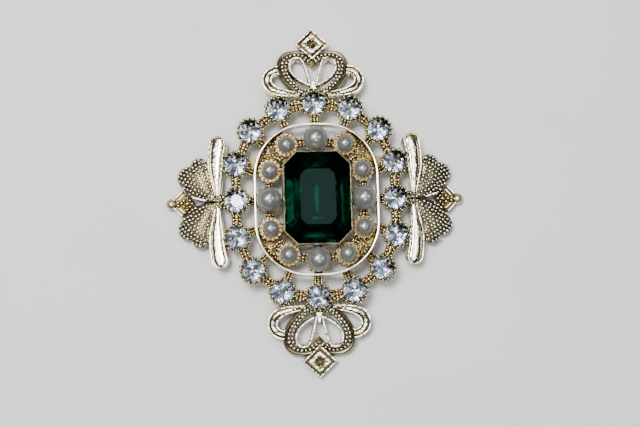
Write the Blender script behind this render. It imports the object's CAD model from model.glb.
"""Looks of the openwork gem brooch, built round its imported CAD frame. Lengths are in millimetres until
Shape.piece() turns them into metres. "In" and "out" mean towards and away from the brooch's middle."""

import math
import random

import bmesh
import bpy
from mathutils import Matrix, Vector


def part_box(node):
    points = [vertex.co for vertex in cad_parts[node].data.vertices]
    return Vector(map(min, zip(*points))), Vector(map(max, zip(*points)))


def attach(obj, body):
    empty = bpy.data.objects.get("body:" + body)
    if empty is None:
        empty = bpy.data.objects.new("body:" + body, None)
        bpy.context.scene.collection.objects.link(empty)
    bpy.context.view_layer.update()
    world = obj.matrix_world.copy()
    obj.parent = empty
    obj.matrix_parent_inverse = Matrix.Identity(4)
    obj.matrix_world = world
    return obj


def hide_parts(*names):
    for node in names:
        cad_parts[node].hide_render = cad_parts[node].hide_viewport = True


MM = 0.001
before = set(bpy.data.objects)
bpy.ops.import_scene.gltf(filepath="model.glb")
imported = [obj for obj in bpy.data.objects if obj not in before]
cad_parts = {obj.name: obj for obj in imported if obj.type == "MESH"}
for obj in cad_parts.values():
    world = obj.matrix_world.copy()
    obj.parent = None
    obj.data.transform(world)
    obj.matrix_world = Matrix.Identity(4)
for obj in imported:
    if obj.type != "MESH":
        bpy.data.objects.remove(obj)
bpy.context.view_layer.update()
rng = random.Random(7)


# ---------------------------------------------------------------- places, from the frame
def centre(node):
    """The middle of a CAD node's box."""
    low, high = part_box(node)
    return (low + high) / 2 / MM


def low_high(node):
    """The lowest and the highest corner of a CAD node's box."""
    low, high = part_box(node)
    return low / MM, high / MM


def half_width(node):
    """Half the width of a CAD node's box."""
    low, high = low_high(node)
    return (high.x - low.x) / 2


CHATONS = [f"rhinestone_{i:02d}" for i in range(1, 17)]
LARGE_PEARLS = ["pearl_north", "pearl_east", "pearl_south", "pearl_west"]
# Clockwise from the top, as the ring runs: a large pearl, then two small ones
PEARLS = []
for quarter, large in enumerate(LARGE_PEARLS):
    PEARLS += [large, f"pearl_small_{2 * quarter + 1}", f"pearl_small_{2 * quarter + 2}"]
PIN_FITTINGS = ["pin_bar", "hinge_rivet", "pin_stem", "catch_housing", "catch_rotor"]

STONE_LOW, STONE_HIGH = low_high("centre_stone")
RIM_LOW, RIM_HIGH = low_high("rim")
BEZEL_LOW, BEZEL_HIGH = low_high("centre_bezel")

# The undersides of the outer frame and of the pearl tier
FRAME_Z = RIM_LOW.z
TIER_Z = BEZEL_LOW.z

# Chatons and their cups; the lean, and the turn from one to the next, are in radians
CHATON_R = 2.25
CHATON_CROWN = 0.56
CHATON_LEAN = 0.05
CHATON_TURN = 0.61
CUP_R = 2.66
CUP_TOP = FRAME_Z + 2.0

# The pearls' cups: outer radius, and height of the lip
LARGE_CUP = (2.33, 5.9)
SMALL_CUP = (2.28, 6.2)

STONE_W = STONE_HIGH.x - STONE_LOW.x
STONE_L = STONE_HIGH.y - STONE_LOW.y
STONE_CUT = 2.75
GIRDLE_Z = BEZEL_HIGH.z - 0.35
BEZEL_WALL = 0.4

RIM_T = 0.5
RIM_W = RIM_HIGH.x - RIM_LOW.x - RIM_T
RIM_L = RIM_HIGH.y - RIM_LOW.y - RIM_T
RIM_CORNER = 10.5

# Crowns and fans start here and fall away from the frame at this slope
SLOPE = math.radians(14)
CROWN_Y = 21.0
FAN_X = 18.0
FAN_Z = 3.25
# How far down the slope the diamond plaques' middles are, and half their diagonals
PLAQUE_V = 11.1
PLAQUE_HALF = 3.45
END_U = 8.9
END_HALF = 2.7
# High enough for the plaque's point to touch the ground
CROWN_Z = (PLAQUE_V + PLAQUE_HALF) * math.sin(SLOPE)
BALL_R = 1.15
BALL_X = low_high("right_end_plaque")[1].x - BALL_R


# ---------------------------------------------------------------- shapes
class Shape:
    """Closed forms gathered in millimetres, then made into one piece."""

    def __init__(self, place=None):
        self.verts = []
        self.faces = []
        self.mats = []
        self.place = place or Matrix.Identity(4)

    def add(self, verts, faces, mat=0):
        """Takes in a mesh; mat is the number of its material in the piece's list."""
        base = len(self.verts)
        self.verts += [self.place @ Vector(v) for v in verts]
        self.faces += [[base + i for i in f] for f in faces]
        self.mats += [mat] * len(faces)

    def rings(self, rings, closed=False, mat=0):
        """Skins a row of equal rings of points, capped at both ends unless the row closes on itself."""
        n = len(rings[0])
        verts = [p for ring in rings for p in ring]
        count = len(rings)
        faces = []
        for i in range(count if closed else count - 1):
            j = (i + 1) % count
            for k in range(n):
                m = (k + 1) % n
                faces.append([i * n + k, i * n + m, j * n + m, j * n + k])
        if not closed:
            faces.append(list(range(n))[::-1])
            faces.append([(count - 1) * n + k for k in range(n)])
        self.add(verts, faces, mat)

    def lathe(self, at, profile, n=40, mat=0):
        """Turns (radius, height) points about an upright axis through at; a radius of 0 closes an end."""
        rings = []
        for r, z in profile:
            r = max(r, 0.004)
            turn = [math.tau * k / n for k in range(n)]
            rings.append([(at[0] + r * math.cos(a), at[1] + r * math.sin(a), z) for a in turn])
        self.rings(rings, mat=mat)

    def ball(self, at, r, mat=0, flat=1.0):
        """A small ball from a twice-divided icosahedron, squashed in height by flat."""
        verts = [(at[0] + r * x, at[1] + r * y, at[2] + r * z * flat) for x, y, z in BALL_VERTS]
        self.add(verts, BALL_FACES, mat)

    def sweep(self, path, profile, closed=False, mat=0):
        """Carries a profile along a flat path; profile(t) gives (in-out, height) points, t from 0 to 1."""
        count = len(path)
        rings = []
        for i, p in enumerate(path):
            nx, ny = normal_at(path, i, closed)
            t = i / count if closed else i / (count - 1)
            rings.append([(p[0] + nx * s, p[1] + ny * s, z) for s, z in profile(t)])
        self.rings(rings, closed, mat)

    def tube(self, points, r, mat=0):
        """A round wire through points in space."""
        n = 8
        last = len(points) - 1
        turn = [math.tau * k / n for k in range(n)]
        rings = []
        for i, point in enumerate(points):
            along = (Vector(points[min(i + 1, last)]) - Vector(points[max(i - 1, 0)])).normalized()
            side = along.cross(Vector((0, 0, 1))).normalized()
            up = side.cross(along)
            p = Vector(point)
            rings.append([tuple(p + side * r * math.cos(q) + up * r * math.sin(q)) for q in turn])
        self.rings(rings, mat=mat)

    def slab(self, outline, levels, mat=0):
        """Stacks copies of an outline; levels are (inset, height) from the bottom up, both ends closed."""
        self.rings([[(x, y, z) for x, y in inset(outline, d)] for d, z in levels], mat=mat)

    def piece(self, name, materials, *nodes, slot, body="brooch", sharp=35):
        """Makes the mesh in place of CAD nodes; edges over sharp degrees stay crisp."""
        mesh = bpy.data.meshes.new(name)
        mesh.from_pydata([v * MM for v in self.verts], [], self.faces)
        for m in materials:
            mesh.materials.append(m)
        mesh.polygons.foreach_set("material_index", self.mats)
        bm = bmesh.new()
        bm.from_mesh(mesh)
        bmesh.ops.recalc_face_normals(bm, faces=bm.faces)
        bm.to_mesh(mesh)
        bm.free()
        mesh.shade_smooth()
        mesh.set_sharp_from_angle(angle=math.radians(sharp))
        obj = bpy.data.objects.new(name, mesh)
        bpy.context.scene.collection.objects.link(obj)
        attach(obj, body)
        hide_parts(*nodes)


def make_ball():
    """The points and faces of a ball of radius 1."""
    bm = bmesh.new()
    bmesh.ops.create_icosphere(bm, subdivisions=2, radius=1)
    verts = [tuple(v.co) for v in bm.verts]
    faces = [[v.index for v in f.verts] for f in bm.faces]
    bm.free()
    return verts, faces


BALL_VERTS, BALL_FACES = make_ball()


def normal_at(path, i, closed=False):
    """The unit direction to the left of a path at its point i."""
    n = len(path)
    a = path[(i - 1) % n] if closed or i > 0 else path[i]
    b = path[(i + 1) % n] if closed or i < n - 1 else path[i]
    dx, dy = b[0] - a[0], b[1] - a[1]
    size = math.hypot(dx, dy) or 1
    return -dy / size, dx / size


def area(outline):
    """Positive when the outline runs anticlockwise."""
    n = len(outline)
    pairs = [(outline[i], outline[(i + 1) % n]) for i in range(n)]
    return sum(a[0] * b[1] - b[0] * a[1] for a, b in pairs) / 2


def inset(outline, d):
    """An outline moved in by d, with its corners mitred."""
    n = len(outline)
    turn = 1 if area(outline) > 0 else -1
    moved = []
    for i in range(n):
        a, p, b = outline[i - 1], outline[i], outline[(i + 1) % n]
        u = Vector((p[0] - a[0], p[1] - a[1])).normalized()
        v = Vector((b[0] - p[0], b[1] - p[1])).normalized()
        nu, nv = Vector((-u.y, u.x)) * turn, Vector((-v.y, v.x)) * turn
        mid = nu + nv
        mid = mid / max(0.35, mid.length_squared / 2) if mid.length > 1e-6 else nu
        moved.append((p[0] + mid.x * d, p[1] + mid.y * d))
    return moved


def bezier(p, n):
    """The n + 1 points of a curve with four control points."""
    points = []
    for i in range(n + 1):
        t = i / n
        k = ((1 - t) ** 3, 3 * (1 - t) ** 2 * t, 3 * (1 - t) * t * t, t**3)
        points.append(tuple(sum(k[j] * p[j][axis] for j in range(4)) for axis in (0, 1)))
    return points


def chain(curves, n=14):
    """Curves joined end to end."""
    points = []
    for k, c in enumerate(curves):
        points += bezier(c, n)[1 if k else 0 :]
    return points


def arc(at, r, start, end, n):
    """The n + 1 points of an arc between two angles in degrees."""
    turn = [math.radians(start + (end - start) * i / n) for i in range(n + 1)]
    return [(at[0] + r * math.cos(a), at[1] + r * math.sin(a)) for a in turn]


def spaced(path, step, start=0.5):
    """Points along a path, step apart, beginning start steps in."""
    points = []
    want = step * start
    run = 0.0
    for a, b in zip(path, path[1:]):
        length = math.dist(a, b)
        while run + length >= want:
            t = (want - run) / length
            points.append(tuple(a[k] + (b[k] - a[k]) * t for k in range(len(a))))
            want += step
        run += length
    return points


def beside(path, offsets):
    """A path whose points each move to its left by their own offset."""
    moved = []
    for i, (p, s) in enumerate(zip(path, offsets)):
        nx, ny = normal_at(path, i)
        moved.append((p[0] + nx * s, p[1] + ny * s))
    return moved


def mirror_path(path):
    return [(-x, y) for x, y in path]


def blend3(a, b, c, t):
    """Goes from a through b, at t = 0.5, to c."""
    return a + (b - a) * 2 * t if t < 0.5 else b + (c - b) * (2 * t - 1)


def diamond(at, half):
    """A square on point, with this half diagonal."""
    return [(at[0] + half, at[1]), (at[0], at[1] + half), (at[0] - half, at[1]), (at[0], at[1] - half)]


def octagon(w, l, c):
    """A w by l rectangle whose corners are cut off by c."""
    x, y = w / 2, l / 2
    upper = [(x, y - c), (x - c, y), (c - x, y), (-x, y - c)]
    return upper + [(-px, -py) for px, py in upper]


def rim_path():
    """The rim's centreline: a rectangle with round corners."""
    dx, dy = RIM_W / 2 - RIM_CORNER, RIM_L / 2 - RIM_CORNER
    corners = [((dx, dy), 0), ((-dx, dy), 90), ((-dx, -dy), 180), ((dx, -dy), 270)]
    points = []
    for at, start in corners:
        points += arc(at, RIM_CORNER, start, start + 90, 18)
    return points


def inside(outline, p):
    """Whether a point lies inside an outline."""
    hit = False
    n = len(outline)
    for i in range(n):
        (x1, y1), (x2, y2) = outline[i], outline[(i + 1) % n]
        if (y1 > p[1]) != (y2 > p[1]) and p[0] < (x2 - x1) * (p[1] - y1) / (y2 - y1) + x1:
            hit = not hit
    return hit


def reach(outline, start, way):
    """How far a point goes along way before it crosses an outline, to the next twentieth."""
    was = inside(outline, (start.x, start.y))
    run = 0.1
    while run < 10 and inside(outline, (start.x + way.x * run, start.y + way.y * run)) == was:
        run += 0.05
    return run


def edge_distance(outline, p):
    """The distance from a point to the nearest edge of an outline."""
    best = 1e9
    q = Vector(p)
    n = len(outline)
    for i in range(n):
        a, b = Vector(outline[i]), Vector(outline[(i + 1) % n])
        ab = b - a
        t = max(0, min(1, (q - a).dot(ab) / max(1e-9, ab.length_squared)))
        best = min(best, (q - a - ab * t).length)
    return best


def half_round(width, low, high):
    """A wall of this width with a rounded top, as (in-out, height) points."""
    r = width / 2
    turn = [math.pi * k / 6 for k in range(7)]
    top = [(r * math.cos(a), high - r + r * math.sin(a)) for a in turn]
    return [(r, low)] + top + [(-r, low)]


# ---------------------------------------------------------------- materials
def new_material(name):
    m = bpy.data.materials.new(name)
    m.use_nodes = True
    return m, m.node_tree, m.node_tree.nodes["Principled BSDF"]


def noise(tree, scale, detail):
    """Noise in object space; scale is features per metre."""
    coords = tree.nodes.new("ShaderNodeTexCoord")
    tex = tree.nodes.new("ShaderNodeTexNoise")
    tex.inputs["Scale"].default_value = scale
    tex.inputs["Detail"].default_value = detail
    tex.inputs["Roughness"].default_value = 0.55
    tree.links.new(coords.outputs["Object"], tex.inputs["Vector"])
    return tex.outputs["Fac"]


def ramp(tree, source, stops):
    """Turns a number into a colour; stops are (number, colour)."""
    node = tree.nodes.new("ShaderNodeValToRGB")
    elements = node.color_ramp.elements
    while len(elements) < len(stops):
        elements.new(0.5)
    for e, (at, colour) in zip(elements, stops):
        e.position = at
        e.color = (*colour, 1)
    tree.links.new(source, node.inputs[0])
    return node.outputs[0]


def to_range(tree, source, low, high):
    """Spreads a texture between two numbers."""
    node = tree.nodes.new("ShaderNodeMapRange")
    node.inputs["To Min"].default_value = low
    node.inputs["To Max"].default_value = high
    tree.links.new(source, node.inputs["Value"])
    return node.outputs[0]


def bump(tree, source, strength, distance, under=None):
    """A normal bumped by a texture, on top of a coarser bump if there is one."""
    node = tree.nodes.new("ShaderNodeBump")
    node.inputs["Strength"].default_value = strength
    node.inputs["Distance"].default_value = distance
    tree.links.new(source, node.inputs["Height"])
    if under is not None:
        tree.links.new(under, node.inputs["Normal"])
    return node.outputs[0]


def mix_colour(tree, factor, plain, patterned):
    """Goes from a plain colour to a patterned one as the factor grows."""
    node = tree.nodes.new("ShaderNodeMix")
    node.data_type = "RGBA"
    node.inputs[6].default_value = (*plain, 1)
    tree.links.new(factor, node.inputs[0])
    tree.links.new(patterned, node.inputs[7])
    return node.outputs[2]


def gold(name, light, deep, rough, recess, grain, dents=0.0):
    """Plated metal, a little uneven from casting: light where it stands proud, deep in the recesses.
    recess is how open a place may be and still be deep; grain and dents are fine and coarse bumps."""
    m, tree, shader = new_material(name)
    shader.inputs["Metallic"].default_value = 1
    ao = tree.nodes.new("ShaderNodeAmbientOcclusion")
    ao.samples = 6
    ao.inputs["Distance"].default_value = 0.9 * MM
    proud = ramp(tree, ao.outputs["AO"], [(recess, (0, 0, 0)), (min(1, recess + 0.45), (1, 1, 1))])
    patches = noise(tree, 900, 3)
    worn = ramp(tree, patches, [(0.35, tuple(0.86 * c for c in light)), (0.65, light)])
    tree.links.new(mix_colour(tree, proud, deep, worn), shader.inputs["Base Color"])
    tree.links.new(to_range(tree, patches, rough * 0.6, rough * 1.5), shader.inputs["Roughness"])
    lumps = bump(tree, noise(tree, 1300, 1), dents, 0.12 * MM) if dents else None
    tree.links.new(bump(tree, noise(tree, 6000, 2), grain, 0.02 * MM, lumps), shader.inputs["Normal"])
    return m


def make_pearl_material():
    """Grey lacquer with a deep gloss over it."""
    m, tree, shader = new_material("pearl_lacquer")
    clouds = noise(tree, 420, 4)
    tone = ramp(tree, clouds, [(0.3, (0.11, 0.115, 0.11)), (0.7, (0.15, 0.155, 0.145))])
    tree.links.new(tone, shader.inputs["Base Color"])
    tree.links.new(to_range(tree, clouds, 0.3, 0.42), shader.inputs["Roughness"])
    shader.inputs["Metallic"].default_value = 0.3
    shader.inputs["Coat Weight"].default_value = 1
    shader.inputs["Coat Roughness"].default_value = 0.2
    shader.inputs["Coat IOR"].default_value = 2.0
    shader.inputs["Sheen Weight"].default_value = 0.25
    shader.inputs["Sheen Roughness"].default_value = 0.4
    shader.inputs["Sheen Tint"].default_value = (0.95, 0.93, 1.0, 1)
    tree.links.new(bump(tree, noise(tree, 9000, 2), 0.06, 0.01 * MM), shader.inputs["Normal"])
    return m


def make_glass(name, colour, rough, ior, flaw, gloss=(1, 1, 1)):
    """Glass whose colour drops to flaw times itself in patches; gloss tints what it mirrors."""
    m, tree, shader = new_material(name)
    shader.inputs["Transmission Weight"].default_value = 1
    shader.inputs["IOR"].default_value = ior
    shader.inputs["Specular Tint"].default_value = (*gloss, 1)
    tint = noise(tree, 260, 2)
    tone = ramp(tree, tint, [(0.3, tuple(c * flaw for c in colour)), (0.7, colour)])
    tree.links.new(tone, shader.inputs["Base Color"])
    tree.links.new(to_range(tree, tint, 0, rough), shader.inputs["Roughness"])
    return m


def make_foil(name, light, dark, rough, crinkle):
    """The mirror foil behind a stone, crinkled a little."""
    m, tree, shader = new_material(name)
    shader.inputs["Metallic"].default_value = 1
    patches = noise(tree, 700, 3)
    tree.links.new(ramp(tree, patches, [(0.35, dark), (0.65, light)]), shader.inputs["Base Color"])
    tree.links.new(to_range(tree, patches, rough * 0.5, rough * 1.6), shader.inputs["Roughness"])
    tree.links.new(bump(tree, patches, crinkle, 0.05 * MM), shader.inputs["Normal"])
    return m


# Each gold has a light and a deep colour, then rough, recess, grain and dents
POLISHED = gold("pale_gold_polished", (0.98, 0.92, 0.75), (0.34, 0.28, 0.15), 0.14, 0.3, 0.06, 0.5)
RIM_GOLD = gold("pale_gold_satin", (0.97, 0.92, 0.74), (0.6, 0.47, 0.22), 0.22, 0.15, 0.1)
CAST = gold("gold_cast", (0.46, 0.375, 0.18), (0.13, 0.078, 0.018), 0.26, 0.45, 0.16)
BEADED = gold("gold_beaded", (0.72, 0.62, 0.36), (0.14, 0.085, 0.02), 0.14, 0.5, 0.06)
GRANULES = gold("pale_gold_granules", (0.88, 0.84, 0.7), (0.14, 0.11, 0.045), 0.14, 0.5, 0.06)
BALL_GOLD = gold("gold_ball", (0.6, 0.54, 0.36), (0.1, 0.07, 0.02), 0.36, 0.7, 0.08)
OLIVE = gold("gold_dark", (0.27, 0.2, 0.08), (0.09, 0.055, 0.012), 0.32, 0.4, 0.12)
BEZEL_GOLD = gold("gold_burnished", (0.6, 0.52, 0.33), (0.2, 0.14, 0.05), 0.2, 0.2, 0.08)
SHADED = gold("pale_gold_shaded", (0.25, 0.22, 0.125), (0.09, 0.065, 0.025), 0.3, 0.4, 0.12)
PIN_METAL = gold("pin_plate", (0.17, 0.14, 0.075), (0.08, 0.06, 0.025), 0.42, 0.3, 0.1)
PEARL = make_pearl_material()
CRYSTAL = make_glass("crystal_glass", (0.97, 0.98, 1.0), 0.02, 1.56, 0.97)
SILVER_FOIL = make_foil("silver_foil", (0.86, 0.88, 0.92), (0.6, 0.65, 0.72), 0.05, 0.06)
DULL_FOIL = make_foil("dull_foil", (0.48, 0.51, 0.55), (0.28, 0.305, 0.34), 0.05, 0.06)
GREEN_GLASS = make_glass("emerald_glass", (0.08, 0.36, 0.27), 0.03, 1.5, 0.8, (0.45, 1, 0.85))
GREEN_FOIL = make_foil("green_foil", (0.03, 0.24, 0.17), (0.012, 0.06, 0.045), 0.06, 0.5)


# ---------------------------------------------------------------- stones
def make_chaton(node, turn):
    """A brilliant: table, star, kite and girdle facets over a pavilion of bright and dull foil by turns."""
    at = centre(node)
    girdle = low_high(node)[1].z - CHATON_CROWN
    lean_x = Matrix.Rotation(rng.uniform(-CHATON_LEAN, CHATON_LEAN), 4, "X")
    lean_y = Matrix.Rotation(rng.uniform(-CHATON_LEAN, CHATON_LEAN), 4, "Y")
    place = Matrix.Translation((at.x, at.y, girdle))
    shape = Shape(place @ (lean_x @ lean_y) @ Matrix.Rotation(turn, 4, "Z"))
    # Part of the radius, number of points, the first one's angle, height over the girdle
    levels = [
        (0.55, 8, 0, 0.62),
        (0.78, 8, 22.5, 0.42),
        (1, 16, 0, 0.08),
        (1, 16, 0, 0.0),
        (0.45, 8, 0, -1.0),
        (0, 1, 0, -1.76),
    ]
    points = []
    firsts = []
    for part, count, start, z in levels:
        firsts.append(len(points))
        for k in range(count):
            a = math.radians(start + k * 360 / count)
            points.append((part * CHATON_R * math.cos(a), part * CHATON_R * math.sin(a), z))
    table, kite, edge, under, waist, tip = firsts
    crown = [list(range(8))]
    pavilion = []
    foils = []
    for i in range(8):
        j = (i + 1) % 8
        right, middle, left = 2 * i, 2 * i + 1, (2 * i + 2) % 16
        crown.append([table + i, kite + i, table + j])
        crown.append([table + i, kite + (i - 1) % 8, edge + right, kite + i])
        crown.append([kite + i, edge + right, edge + middle])
        crown.append([kite + i, edge + middle, edge + left])
        pavilion.append([under + right, under + middle, waist + i])
        pavilion.append([under + middle, under + left, waist + j])
        pavilion.append([under + middle, waist + j, waist + i])
        pavilion.append([waist + i, waist + j, tip])
        foils += [1 + i % 2] * 4
    for i in range(16):
        j = (i + 1) % 16
        crown.append([edge + i, under + i, under + j, edge + j])
    shape.add(points, crown + pavilion)
    shape.mats = [0] * len(crown) + foils
    shape.piece(f"{node}_cut", [CRYSTAL, SILVER_FOIL, DULL_FOIL], node, slot="clear_crystal", sharp=1)


def make_pearl(node):
    """A lacquered bead with a flat glued back."""
    low, high = low_high(node)
    r = half_width(node)
    mid = high.z - r
    rows = 28
    start = -0.36 * math.pi
    profile = [(0, low.z)]
    for i in range(rows + 1):
        a = start + (math.pi / 2 - start) * i / rows
        profile.append((r * math.cos(a), max(low.z, mid + r * math.sin(a))))
    shape = Shape()
    shape.lathe(centre(node), profile, n=56)
    shape.piece(f"{node}_bead", [PEARL], node, slot="imitation_pearl", sharp=50)


def make_centre_stone():
    """A step cut: three steps up to the table, four down to the keel, foiled behind."""
    # Taken off the width, the length and the corner cut, and the height over the girdle
    levels = [
        (6.1, 7.1, 1.6, 1.79),
        (3.8, 4.6, 0.9, 1.26),
        (1.8, 2.4, 0.4, 0.8),
        (0, 0, 0, 0.25),
        (0, 0, 0, 0.0),
        (1.4, 1.8, 0.3, -1.0),
        (4.6, 5.2, 1.0, -2.5),
        (8.2, 9.2, 1.55, -3.45),
        (12.4, 12.6, 2.55, -4.1),
    ]
    rings = []
    for narrower, shorter, less_cut, z in levels:
        outline = octagon(STONE_W - narrower, STONE_L - shorter, STONE_CUT - less_cut)
        rings.append([(x, y, GIRDLE_Z + z) for x, y in outline])
    shape = Shape()
    shape.rings(rings)
    # Glass down to the girdle and foil below it, then the two ends: table and keel
    sides = 8 * 4
    shape.mats = [0] * sides + [1] * sides + [0, 1]
    materials = [GREEN_GLASS, GREEN_FOIL]
    shape.piece("centre_stone_cut", materials, "centre_stone", slot="green_glass", sharp=1)


# ---------------------------------------------------------------- settings
def grains(shape, at, ring_r, z, count, r, turn=0.0):
    """A ring of small beads, each a little different."""
    for k in range(count):
        a = turn + math.tau * k / count
        size = r * rng.uniform(0.9, 1.06)
        shape.ball((at[0] + ring_r * math.cos(a), at[1] + ring_r * math.sin(a), z), size, 1)


def bar(shape, a, b, width, low, high):
    """A rounded bar between two points on the plane."""
    n = 5
    path = [(a[0] + (b[0] - a[0]) * i / n, a[1] + (b[1] - a[1]) * i / n) for i in range(n + 1)]
    shape.sweep(path, lambda t: half_round(width, low, high))


def cluster(shape, a, b, width, z, r):
    """Six lumps in two rows and a bigger one on top, filling the bridge from a to b."""
    along = (b - a).normalized()
    side = Vector((-along.y, along.x, 0)) * width
    middle = (a + b) / 2
    for row in (-1, 0, 1):
        for s in (-1, 1):
            p = middle + along * row * (b - a).length * 0.3 + side * s
            shape.ball((p.x, p.y, z - 0.12 * abs(row)), r * rng.uniform(0.9, 1.1), 1)
    shape.ball((middle.x, middle.y, z + 0.1), r * 1.15, 1)


def ribbed_tie(shape, at, way, low, high, spread):
    """Three rounded ribs side by side from a cup to the rim, with lumps at their start and middle."""
    across = Vector((-way.y, way.x, 0))
    end = at + way * reach(rim_path(), at, way)
    for s in (-1, 0, 1):
        p, q = at + across * s * spread, end + across * s * spread
        bar(shape, p, q, spread * 0.96, low, high)
        shape.ball((p.x, p.y, high - 0.1), spread * 0.6, 1)
        m = p.lerp(q, 0.5)
        shape.ball((m.x, m.y, high - 0.06), spread * 0.46, 1)


def chaton_cup(shape, at, number):
    """A cup with a ring of grains over the chaton's edge and another round its wall."""
    seat = CUP_TOP - 0.1
    profile = [
        (0, seat - 1.89), (0.4, seat - 1.86), (CHATON_R + 0.02, seat - 0.25),
        (CHATON_R + 0.03, CUP_TOP - 0.05), (CHATON_R + 0.1, CUP_TOP + 0.02),
        (CUP_R - 0.16, CUP_TOP - 0.06), (CUP_R - 0.06, CUP_TOP - 0.3), (CUP_R, CUP_TOP - 0.75),
        (CUP_R - 0.03, FRAME_Z + 0.45), (CUP_R - 0.2, FRAME_Z), (0, FRAME_Z - 0.1),
    ]
    shape.lathe(at, profile)
    grains(shape, at, CHATON_R + 0.12, CUP_TOP + 0.06, 14, 0.26, turn=number * 0.7)
    grains(shape, at, CUP_R + 0.02, CUP_TOP - 0.42, 16, 0.33, turn=number * 0.4)


def side_lumps(shape, middle, along):
    """Four bigger lumps on the outer side of a bridge, where a crown joins on."""
    outward = Vector((-along.y, along.x, 0))
    for row, lift in ((-0.7, 0.85), (0.0, 1.15), (0.7, 0.85), (0.0, 0.55)):
        v = middle + along * row + outward * lift
        shape.ball((v.x, v.y, FRAME_Z + 1.0), 0.5, 1)


def make_outer_frame():
    """Sixteen grained cups, lumpy bridges between them, and ribbed ties in to the rim."""
    shape = Shape()
    places = [centre(node) for node in CHATONS]
    count = len(places)
    beside_crown = (0, count // 2 - 1, count // 2, count - 1)
    for i, p in enumerate(places):
        chaton_cup(shape, p, i)
        q = places[(i + 1) % count]
        along = (q - p).normalized()
        start, end = p + along * (CUP_R - 0.2), q - along * (CUP_R - 0.2)
        bar(shape, start, end, 1.9, FRAME_Z + 0.05, FRAME_Z + 1.15)
        cluster(shape, start, end, 0.62, FRAME_Z + 1.2, 0.36)
        if i in beside_crown:
            side_lumps(shape, (start + end) / 2, along)
        flat = Vector((p.x, p.y, 0))
        inward = -flat.normalized()
        foot = flat + inward * (CUP_R - 0.05)
        ribbed_tie(shape, foot, inward, FRAME_Z + 0.03, FRAME_Z + 1.35, 0.62)
    shape.piece("outer_frame_cast", [CAST, BEADED], "outer_frame", slot="gold_plate")


def make_rim():
    """The raised wall, its top edge rounded over."""
    r = RIM_T / 2
    top = RIM_HIGH.z
    half = [(r, FRAME_Z), (r, top - 0.3), (r * 0.92, top - 0.14), (r * 0.68, top - 0.04), (r * 0.3, top)]
    profile = half + [(-x, z) for x, z in half[::-1]]
    shape = Shape()
    shape.sweep(rim_path(), lambda t: profile, closed=True)
    shape.piece("rim_polished", [RIM_GOLD], "rim", slot="pale_gold")


def bowl(r, mid, top):
    """The inside of a cup that holds a ball of radius r: points up from its bottom to its lip."""
    end = math.asin(max(-1, min(1, (top - mid) / r)))
    start = -0.43 * math.pi
    points = [(0, mid + r * math.sin(start))]
    for i in range(9):
        a = start + (end - start) * i / 8
        points.append((r * math.cos(a), mid + r * math.sin(a)))
    return points


def pearl_cup(shape, node, number):
    """A cup with grains round its wall, and over the pearl's edge too if it is small. Returns its radius."""
    at = centre(node)
    r = half_width(node)
    mid = low_high(node)[1].z - r
    wall, top = LARGE_CUP if node in LARGE_PEARLS else SMALL_CUP
    profile = bowl(r + 0.03, mid, top) + [(wall - 0.06, top), (wall, top - 0.25)]
    profile += [(wall - 0.02, TIER_Z + 0.5), (wall - 0.25, TIER_Z), (0, TIER_Z)]
    shape.lathe(at, profile)
    if node in LARGE_PEARLS:
        grains(shape, at, wall + 0.1, top - 0.45, 14, 0.33)
    else:
        grains(shape, at, wall - 0.24, top + 0.02, 15, 0.24, turn=number)
        grains(shape, at, wall + 0.04, top - 0.5, 14, 0.33, turn=number * 0.5)
    return wall


def make_pearl_ring():
    """Twelve grained cups with beaded bridges, ribbed ties out to the rim, and pierced webs."""
    shape = Shape()
    places = [centre(node) for node in PEARLS]
    for i, (node, p) in enumerate(zip(PEARLS, places)):
        wall = pearl_cup(shape, node, i)
        q = places[(i + 1) % len(places)]
        along = Vector((q.x - p.x, q.y - p.y, 0)).normalized()
        start, end = p + along * (wall - 0.2), q - along * (wall - 0.2)
        bar(shape, start, end, 1.8, TIER_Z + 0.1, TIER_Z + 0.95)
        cluster(shape, start, end, 0.6, TIER_Z + 1.05, 0.3)
        flat = Vector((p.x, p.y, 0))
        outward = flat.normalized()
        foot = flat + outward * (wall - 0.05)
        ribbed_tie(shape, foot, outward, TIER_Z + 0.03, TIER_Z + 1.15, 0.5)
    corner_webs(shape)
    shape.piece("pearl_ring_cast", [CAST, BEADED, OLIVE], "pearl_ring", slot="gold_plate")


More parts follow.
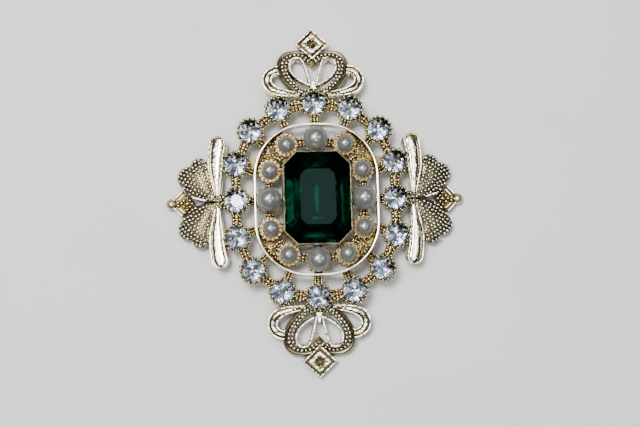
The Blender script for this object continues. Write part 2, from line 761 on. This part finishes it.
def corner_webs(shape):
    """Dished plates in the rim's corners, each with a small pierced hole and grains round it."""
    a, b = centre("pearl_small_1"), centre("pearl_small_2")
    sum_x, sum_y = a.x + b.x, a.y + b.y
    outline = [
        (a.x, a.y), (a.x * 1.35, a.y * 1.35), (b.x * 1.35, b.y * 1.35), (b.x, b.y),
        (sum_x * 0.46, sum_y * 0.46),
    ]
    wall = inset(rim_path(), RIM_T / 2)
    hole = Vector((sum_x * 0.59, sum_y * 0.59))

    def room(way):
        """How far the web goes from its hole, to the cups' side or to the rim."""
        return min(reach(outline, hole, way), reach(wall, hole, way))

    n = 32
    ways = [Vector((math.cos(math.tau * k / n), math.sin(math.tau * k / n))) for k in range(n)]
    rooms = [room(way) for way in ways]
    low, top = TIER_Z + 0.05, TIER_Z + 0.9
    # Round the hole by radius, then out to the web's edge by part of the way
    hole_rows = [(0.34, low), (0.34, top - 0.15), (0.42, top), (0.6, top - 0.02)]
    web_rows = [(0.5, top - 0.22), (0.85, top - 0.05), (1, top + 0.1), (1, low)]
    for sx, sy in ((1, 1), (1, -1), (-1, 1), (-1, -1)):
        sections = []
        for way, far in zip(ways, rooms):
            rows = hole_rows + [(max(0.62, far * part), z) for part, z in web_rows]
            points = [(hole + way * r, z) for r, z in rows]
            sections.append([(v.x * sx, v.y * sy, z) for v, z in points])
        shape.rings(sections, closed=True, mat=2)
        for ring, count in ((0.86, 8), (1.6, 14), (2.35, 20), (3.1, 27)):
            for k in range(count):
                angle = math.tau * (k + 0.3) / count
                way = Vector((math.cos(angle), math.sin(angle)))
                if room(way) > ring + 0.2:
                    v = hole + way * ring
                    shape.ball((v.x * sx, v.y * sy, top), 0.33 * rng.uniform(0.85, 1.1), 1)


def make_bezel():
    """A thin box wall, burnished over the stone's girdle, with a ledge inside."""
    outer = octagon(STONE_W + 2 * BEZEL_WALL, STONE_L + 2 * BEZEL_WALL, STONE_CUT)
    levels = [
        (0.0, TIER_Z), (0.0, GIRDLE_Z - 0.35), (0.08, GIRDLE_Z), (0.22, GIRDLE_Z + 0.26),
        (0.33, GIRDLE_Z + 0.36), (0.38, GIRDLE_Z + 0.3), (0.37, GIRDLE_Z - 0.7),
        (1.0, GIRDLE_Z - 1.3), (1.0, TIER_Z),
    ]
    rings = [[(x, y, z) for x, y in inset(outer, d)] for d, z in levels]
    shape = Shape()
    shape.rings([list(section) for section in zip(*rings)], closed=True)
    shape.piece("centre_bezel_burnished", [BEZEL_GOLD], "centre_bezel", slot="pale_gold", sharp=25)


# ---------------------------------------------------------------- crowns
def crown_place(s):
    """Where a crown's own plane stands: s is 1 for the top one and -1 for the bottom one."""
    flip = Matrix.Diagonal((1, s, 1, 1))
    return flip @ Matrix.Translation((0, CROWN_Y, CROWN_Z)) @ Matrix.Rotation(-SLOPE, 4, "X")


# The right half's curves in that plane, from the frame outwards
BAND = chain([
    [(2.5, 0.4), (4.4, 2.4), (6.35, 4.3), (6.2, 6.7)],
    [(6.2, 6.7), (6.1, 8.3), (4.7, 9.2), (2.4, 9.0)],
    [(2.4, 9.0), (1.7, 8.9), (1.0, 8.4), (0.3, 7.7)],
])
BAND_WIDTHS = (1.6, 2.7, 1.3)
LOOP = chain([
    [(0.5, 1.9), (3.1, 3), (5, 4.7), (4.65, 6.6)],
    [(4.65, 6.6), (4.45, 8.4), (2.5, 8.7), (1.9, 7.1)],
    [(1.9, 7.1), (1.4, 5.7), (1.1, 4.4), (0.75, 2.7)],
], 10)
SCROLL = chain([
    [(7, 5.7), (9.2, 5.6), (10.3, 3.1), (8.4, 1.5)],
    [(8.4, 1.5), (7, 0.5), (5, 0.4), (3, 0.2)],
])
SCROLL_WIDTHS = (1.8, 2.1, 0.8)


def make_heart_band(s, end):
    """A band with two rows of grains on its inner part and a smooth roll along its outer part."""
    shape = Shape(crown_place(s))
    last = len(BAND) - 1
    half = [blend3(*BAND_WIDTHS, i / last) / 2 for i in range(last + 1)]
    bed = [(1.0, 0.0), (1.0, 0.85), (0.93, 0.98), (0.6, 1.0), (0.1, 0.96), (-0.2, 0.9)]
    roll = [
        (-0.28, 1.0), (-0.4, 1.14), (-0.56, 1.2), (-0.74, 1.12), (-0.9, 0.9), (-0.98, 0.6), (-1.0, 0.0),
    ]
    for side in (1, -1):
        path = BAND if side == 1 else mirror_path(BAND)

        def profile(t):
            h = blend3(*BAND_WIDTHS, t) / 2
            return [(x * h * side, z) for x, z in bed + roll]

        shape.sweep(path, profile)
        for part, start in ((0.66, 0.2), (0.06, 0.7)):
            for x, y in spaced(beside(path, [part * h * side for h in half]), 0.82, start):
                shape.ball((x, y, 1.1), 0.37 * rng.uniform(0.9, 1.08), 1)
    shape.slab([(-2.6, -0.1), (2.6, -0.1), (2.4, 1.2), (-2.4, 1.2)], [(0, 0), (0, 0.9), (0.15, 1.05)])
    foot = ((2.3, 0.7, 0.42), (1.6, 1.15, 0.36), (1.0, 0.9, 0.34), (2.9, 0.3, 0.4), (2.2, 0.0, 0.36))
    for x, y, r in foot:
        for side in (1, -1):
            shape.ball((x * side, y, 1.05), r, 1)
    shape.piece(f"{end}_heart_band_cast", [SHADED, GRANULES], f"{end}_heart_band", slot="gold_plate")


def make_loops(s, end):
    """Twin teardrops of wire that grow from one short stem, over a dark keystone."""
    shape = Shape(crown_place(s))
    half = [(0.27, 0.1), (0.27, 1.4), (0.21, 1.58), (0.1, 1.67)]
    wire = half + [(-x, z) for x, z in half[::-1]]
    for path in (LOOP, mirror_path(LOOP)):
        shape.sweep(path, lambda t: wire, closed=True)
    stem = [(-0.7, 1.1), (0.7, 1.1), (0.45, 2.2), (0.25, 3.2), (-0.25, 3.2), (-0.45, 2.2)]
    shape.slab(stem, [(0, 0.1), (0, 1.2), (0.12, 1.5)])
    keystone = [(-1.5, 7.9), (0, 6.2), (1.5, 7.9), (0, 8.3)]
    shape.slab(keystone, [(0, 0.1), (0, 0.4), (0.6, 0.85)], mat=1)
    shape.piece(f"{end}_loops_wire", [POLISHED, OLIVE], f"{end}_loops", slot="pale_gold")


def make_scroll(s, end, side, word):
    """A C-shaped ribbon: a wire along each edge and a broad one between them, over a dark bed."""
    shape = Shape(crown_place(s))
    path = SCROLL if side == 1 else mirror_path(SCROLL)

    def lane(inner, outer, low, high, mat):
        """One flat-topped wire of the ribbon, between two parts of its half width."""

        def profile(t):
            half = blend3(*SCROLL_WIDTHS, t) / 2
            a, b = inner * half, outer * half
            ease = (b - a) * 0.15
            brow = high - 0.12
            points = [(a, low), (a, brow), (a + ease, high), (b - ease, high), (b, brow), (b, low)]
            return [(-x * side, z) for x, z in points]

        shape.sweep(path, profile, mat=mat)

    lane(-0.97, 0.97, 0.0, 0.7, 2)
    lane(0.68, 1.0, 0.3, 1.24, 0)
    lane(-0.26, 0.4, 0.4, 1.16, 0)
    lane(-1.0, -0.66, 0.3, 1.24, 0)
    for x, y, z, r in ((3.4, 0.35, 1.0, 0.62), (4.3, 0.2, 0.95, 0.6), (5.2, 0.35, 0.9, 0.5)):
        shape.ball((x * side, y, z), r, 1, flat=0.7)
    for x, y in ((6.9, 4.75), (7.35, 4.3)):
        shape.ball((x * side, y, 1.1), 0.26)
    materials = [POLISHED, CAST, SHADED]
    node = f"{end}_scroll_{word}"
    shape.piece(f"{node}_cast", materials, node, slot="pale_gold", sharp=50)


def make_plaque(s, end):
    """Nested squares on point: a thin border, a sunk channel, a broad flat square and a small hollow."""
    shape = Shape(crown_place(s))
    outline = diamond((0, PLAQUE_V), PLAQUE_HALF)
    shape.slab(outline, [(0.5, 0), (0.45, 0.7), (0.04, 0.95), (0.04, 1.02)], mat=1)
    border = [(0, 0.95), (0, 1.76), (0.05, 1.84), (0.26, 1.84), (0.31, 1.76), (0.31, 0.95)]
    square = diamond((0, PLAQUE_V), PLAQUE_HALF - 1.13)
    broad = [(0, 0.95), (0, 1.72), (0.08, 1.8), (0.62, 1.8), (0.7, 1.72), (0.76, 0.95)]
    for edge, levels in ((outline, border), (square, broad)):
        shape.rings([[(x, y, z) for x, y in inset(edge, d)] for d, z in levels], closed=True)
    shape.piece(f"{end}_plaque_cast", [POLISHED, SHADED], f"{end}_plaque", slot="pale_gold", sharp=30)


def make_stud(s, end):
    """A four-sided point in the plaque's hollow, with a grain at each corner."""
    shape = Shape(crown_place(s))
    point = diamond((0, PLAQUE_V), 0.72)
    shape.slab(point, [(0, 0.98), (0.02, 1.5), (0.25, 1.75), (0.45, 1.88)])
    for x, y in diamond((0, PLAQUE_V), 1.0):
        shape.ball((x, y, 1.62), 0.22, 1)
    shape.piece(f"{end}_stud_point", [CAST, BEADED], f"{end}_stud", slot="gold_plate", sharp=30)


# ---------------------------------------------------------------- side fans
def fan_place(s):
    """Where a fan's own plane stands: s is 1 for the right side and -1 for the left."""
    flip = Matrix.Diagonal((s, 1, 1, 1))
    return flip @ Matrix.Translation((FAN_X, 0, FAN_Z)) @ Matrix.Rotation(SLOPE, 4, "Y")


# The upper half's curves in that plane, from the root outwards
LEAF = bezier([(1.45, 1.3), (1.6, 4.6), (2.15, 8), (1.25, 11.5)], 22)
LEAF_WIDTHS = (1.0, 2.9, 3.4)
FAN_LOBES = arc((7.6, 5.2), 2.3, -50, 100, 16) + arc((5.35, 7.4), 1.75, 6, 150, 14)
FAN_CREST = Vector((5.9, 5.0))
FAN_ROOT = Vector((1.2, -0.9))
FAN_VALLEY = Vector((7.15, 7.5))
FAN_SPREAD = math.radians(96)
FAN_PITCH = 0.74


def leaf_ribbon():
    """The leaf's middle line and half widths, carried round its blunt end."""
    n = len(LEAF) - 1
    points = [(p, blend3(*LEAF_WIDTHS, i / n) / 2) for i, p in enumerate(LEAF)]
    (x, y), r = points[-1]
    nx, ny = normal_at(LEAF, n)
    for k in range(1, 9):
        a = math.pi / 2 * k / 8.2
        points.append(((x + ny * r * math.sin(a), y - nx * r * math.sin(a)), r * math.cos(a)))
    return points


def make_leaf(s, up, side, word):
    """A polished leaf: a wire round its edge, a groove, and a full rounded pad."""
    shape = Shape(fan_place(s))
    ribbon = leaf_ribbon()

    def profile(t):
        h = ribbon[round(t * (len(ribbon) - 1))][1]
        wire = min(0.32, h * 0.32)
        groove = min(0.48, h * 0.48)
        pad = h - groove
        rise = 0.36 * min(1, pad / 0.6)
        edge = [
            (h, 0.0), (h, 1.5), (h - wire * 0.2, 1.66), (h - wire * 0.8, 1.66), (h - wire, 1.5),
            (h - wire, 1.05), (h - groove, 1.05),
        ]
        dome = [(pad * x, 1.3 + rise * y) for x, y in ((1, 0), (0.94, 0.5), (0.76, 0.84), (0.4, 0.97))]
        half = edge + dome
        return half + [(0, 1.3 + rise)] + [(-x, z) for x, z in half[::-1]]

    shape.sweep([(x, y * up) for (x, y), h in ribbon], profile)
    if up == 1:
        tip = LEAF[-1]
        for k in range(5):
            a = math.radians(48 + 21 * k)
            shape.ball((tip[0] + 1.5 * math.cos(a), tip[1] + 1.5 * math.sin(a), 1.68), 0.3, 1)
    node = f"{side}_leaf_{word}"
    shape.piece(f"{node}_polished", [POLISHED, BEADED], node, slot="pale_gold", sharp=50)


def fan_body():
    """Half a fan's outline, without the leaf and the opening."""
    n = len(LEAF) - 1
    outer_side = beside(LEAF, [-blend3(*LEAF_WIDTHS, i / n) / 2 for i in range(n + 1)])
    along_leaf = [p for p in outer_side if p[1] < 8.1]
    return [(2.0, 0.03), (4.2, 0.03), (6.9, 0.95), (7.6, 1.5)] + FAN_LOBES + along_leaf[::-1]


def fan_root(shape, up):
    """The lumpy casting that joins a fan and its leaf to the frame."""
    plate = [(0.3, 0.02), (2.3, 0.02), (2.1, 1.7), (0.7, 1.5)]
    shape.slab([(x, y * up) for x, y in plate], [(0, 0), (0, 0.8), (0.15, 0.95)])
    lumps = [(0.75, 0.4, 0.32), (1.45, 0.35, 0.36), (2.2, 0.42, 0.32), (0.95, 1.05, 0.34), (1.7, 1.0, 0.3)]
    for x, y, r in lumps:
        shape.ball((x, y * up, 0.98), r, 1)


def fan_height(k):
    """Height of a fan's puffed top, a part k of the way from its crest to its edge."""
    return 1.1 + 0.6 * (1 - k * k)


def fan_puff(shape, body, up):
    """The puffed bed under the grains."""
    rings = []
    for k in (0.9, 0.75, 0.6, 0.4, 0.2, 0.02):
        z = fan_height(k) - 0.22 if k < 0.9 else 0.8
        ring = [(FAN_CREST.x + (x - FAN_CREST.x) * k, FAN_CREST.y + (y - FAN_CREST.y) * k) for x, y in body]
        rings.append([(x, y * up, z) for x, y in ring])
    shape.rings(rings)


def fan_grains(shape, body, up):
    """Rows of grains that spread from the root, sinking into the valley between the petals."""
    valley = (FAN_VALLEY - FAN_ROOT).normalized()
    for row in range(3, 16):
        radius = FAN_PITCH * row
        count = max(1, round(FAN_SPREAD * radius / (FAN_PITCH * 1.04)))
        for k in range(count + 1):
            a = FAN_SPREAD * (k + 0.5 * (row % 2)) / count
            p = FAN_ROOT + Vector((math.cos(a), math.sin(a))) * radius
            if inside(body, p) and edge_distance(body, p) > 0.34:
                out = p - FAN_CREST
                far = reach(body, FAN_CREST, out.normalized()) if out.length > 0.1 else 9
                dip = 0.25 * max(0, 1 - abs((p - FAN_ROOT).cross(valley)) / 0.9) * min(1, radius / 6)
                z = fan_height(out.length / far) - dip
                shape.ball((p.x, p.y * up, z), 0.35 * rng.uniform(0.88, 1.06), 1)


def make_fan(s, up, side, word):
    """Two puffed petals paved with grains, inside a smooth rolled edge."""
    shape = Shape(fan_place(s))
    body = fan_body()
    outline = [(x, y * up) for x, y in body]
    shape.slab(outline, [(0, 0), (0, 0.55), (0.08, 0.85), (0.24, 1.02), (0.4, 1.08)])
    fan_puff(shape, body, up)
    fan_root(shape, up)
    fan_grains(shape, body, up)
    leaf_side = [p for p in body if p[0] < 4.1 and p[1] > 1.2]
    for x, y in spaced(leaf_side, 0.72):
        shape.ball((x + 0.14, y * up, 1.24), 0.3, 1)
    low_edge = [(2.9, 0.1, 1.2), (4.2, 0.3, 1.3), (5.6, 0.78, 1.3), (7.0, 1.2, 1.2)]
    shape.tube([(x, y * up, z) for x, y, z in low_edge], 0.2, mat=2)
    if up == 1:
        flat_bar = [(3.9, 0.18), (6.5, 0.95), (6.4, 1.3), (3.8, 0.52)]
        shape.slab(flat_bar, [(0, 0.6), (0, 1.6), (0.06, 1.68)], mat=2)
    node = f"{side}_fan_{word}"
    shape.piece(f"{node}_grained", [SHADED, GRANULES, POLISHED], node, slot="gold_plate")


def make_end_plaque(s, side):
    """A small diamond with a wire along each edge and a lumpy middle, and a ball on a short neck."""
    shape = Shape(fan_place(s))
    shape.slab(diamond((END_U, 0), END_HALF), [(0, 0), (0, 0.6), (0.3, 0.8), (1.2, 0.7), (1.8, 0.8)])
    outer_wire = [(0.05, 2.5, 1.0), (1.2, 1.35, 1.1), (2.0, 0.55, 1.05)]
    inner_wire = [(-0.35, 1.85, 1.0), (0.6, 0.9, 1.08)]
    for y_side in (1, -1):
        for wire, r in ((outer_wire, 0.2), (inner_wire, 0.17)):
            shape.tube([(END_U + x, y * y_side, z) for x, y, z in wire], r, mat=1)
    lumps = [
        (-2.1, 0, 0.36), (-1.6, 0.62, 0.34), (-1.6, -0.62, 0.34), (-1.1, 1.2, 0.34), (-1.1, -1.2, 0.34),
        (-1.1, 0, 0.5), (-0.4, 0.6, 0.42), (-0.4, -0.6, 0.42), (0.1, 0.1, 0.46), (0.9, 0.25, 0.4),
        (0.8, -0.35, 0.4), (1.5, 0, 0.4), (-0.6, 1.75, 0.3), (-0.6, -1.75, 0.3),
    ]
    for x, y, r in lumps:
        shape.ball((END_U + x, y, 0.98), r, 2)
    # The ball rests on the plane, so it is placed level and not on the fan's slope
    shape.place = Matrix.Identity(4)
    ball_x = BALL_X * s
    shape.lathe((ball_x, 0), sphere_profile(BALL_R, BALL_R), n=36, mat=3)
    shape.tube([(ball_x - 1.4 * s, 0, BALL_R + 0.1), (ball_x, 0, BALL_R)], 0.55)
    node = f"{side}_end_plaque"
    shape.piece(f"{node}_cast", [OLIVE, POLISHED, BEADED, BALL_GOLD], node, slot="pale_gold", sharp=40)


def sphere_profile(r, z):
    """A ball with its middle at height z, as (radius, height) points from the bottom up."""
    turn = [math.pi * (i / 20 - 0.5) for i in range(21)]
    return [(r * math.cos(a), z + r * math.sin(a)) for a in turn]


# ---------------------------------------------------------------- build
for number, node in enumerate(CHATONS):
    make_chaton(node, turn=number * CHATON_TURN)
for node in PEARLS:
    make_pearl(node)
make_centre_stone()
make_outer_frame()
make_rim()
make_pearl_ring()
make_bezel()
for sign, end in ((1, "top"), (-1, "bottom")):
    make_heart_band(sign, end)
    make_loops(sign, end)
    make_scroll(sign, end, -1, "left")
    make_scroll(sign, end, 1, "right")
    make_plaque(sign, end)
    make_stud(sign, end)
for sign, side in ((1, "right"), (-1, "left")):
    for up, word in ((1, "upper"), (-1, "lower")):
        make_leaf(sign, up, side, word)
        make_fan(sign, up, side, word)
    make_end_plaque(sign, side)
for node in PIN_FITTINGS:
    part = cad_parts[node]
    part.data.materials.clear()
    part.data.materials.append(PIN_METAL)


# ---------------------------------------------------------------- stage, light and camera, in metres
def make_floor():
    """A plain pale floor, a hair below the brooch."""
    m, tree, shader = new_material("pale_floor")
    tone = ramp(tree, noise(tree, 40, 2), [(0.3, (0.70, 0.70, 0.69)), (0.7, (0.73, 0.73, 0.72))])
    tree.links.new(tone, shader.inputs["Base Color"])
    shader.inputs["Roughness"].default_value = 0.8
    bpy.ops.mesh.primitive_plane_add(size=3, location=(0, 0, -0.02 * MM))
    floor = bpy.context.object
    floor.name = "floor"
    floor.data.materials.append(m)


def area_light(name, at, size, watts, colour=(1, 1, 1)):
    """A round lamp that faces the brooch."""
    light = bpy.data.lights.new(name, "AREA")
    light.shape = "DISK"
    light.size = size
    light.energy = watts
    light.color = colour
    obj = bpy.data.objects.new(name, light)
    obj.location = at
    obj.rotation_euler = (-Vector(at)).to_track_quat("-Z", "Y").to_euler()
    bpy.context.scene.collection.objects.link(obj)


def make_world():
    """A soft pale dome overhead that falls to a dark studio at the sides."""
    world = bpy.data.worlds.new("studio")
    world.use_nodes = True
    tree = world.node_tree
    coords = tree.nodes.new("ShaderNodeTexCoord")
    split = tree.nodes.new("ShaderNodeSeparateXYZ")
    tree.links.new(coords.outputs["Generated"], split.inputs[0])
    stops = [
        (0.0, (0.03, 0.031, 0.034)),
        (0.72, (0.035, 0.036, 0.04)),
        (0.88, (0.2, 0.21, 0.22)),
        (0.96, (0.86, 0.88, 0.92)),
        (1.0, (1.0, 1.02, 1.06)),
    ]
    tree.links.new(ramp(tree, split.outputs[2], stops), tree.nodes["Background"].inputs[0])
    bpy.context.scene.world = world


def make_camera():
    """Looks down on the face, a little from below and from the left."""
    turn = Matrix.Identity(4)
    for axis, degrees in (("X", -5.72), ("Y", 3.41), ("Z", 1.556)):
        turn = turn @ Matrix.Rotation(math.radians(degrees), 4, axis)
    distance = Vector((-1.009, 2.276, -285.2)) * MM
    data = bpy.data.cameras.new("camera")
    data.lens = 78.8
    data.clip_start = 0.01
    camera = bpy.data.objects.new("camera", data)
    camera.matrix_world = (Matrix.Translation(distance) @ turn).inverted()
    bpy.context.scene.collection.objects.link(camera)
    bpy.context.scene.camera = camera


make_floor()
make_world()
area_light("overhead", (-0.11, 0.08, 0.45), 0.14, 3.0)
area_light("top", (0.025, 0.28, 0.42), 0.16, 0.5, (1, 0.98, 0.95))
area_light("foot", (0.025, -0.17, 0.42), 0.14, 0.34)
area_light("left", (-0.24, 0.0, 0.38), 0.14, 0.36, (1, 0.97, 0.92))
area_light("right", (0.256, 0.042, 0.42), 0.15, 0.42, (0.93, 0.96, 1))
make_camera()

bpy.context.view_layer.update()
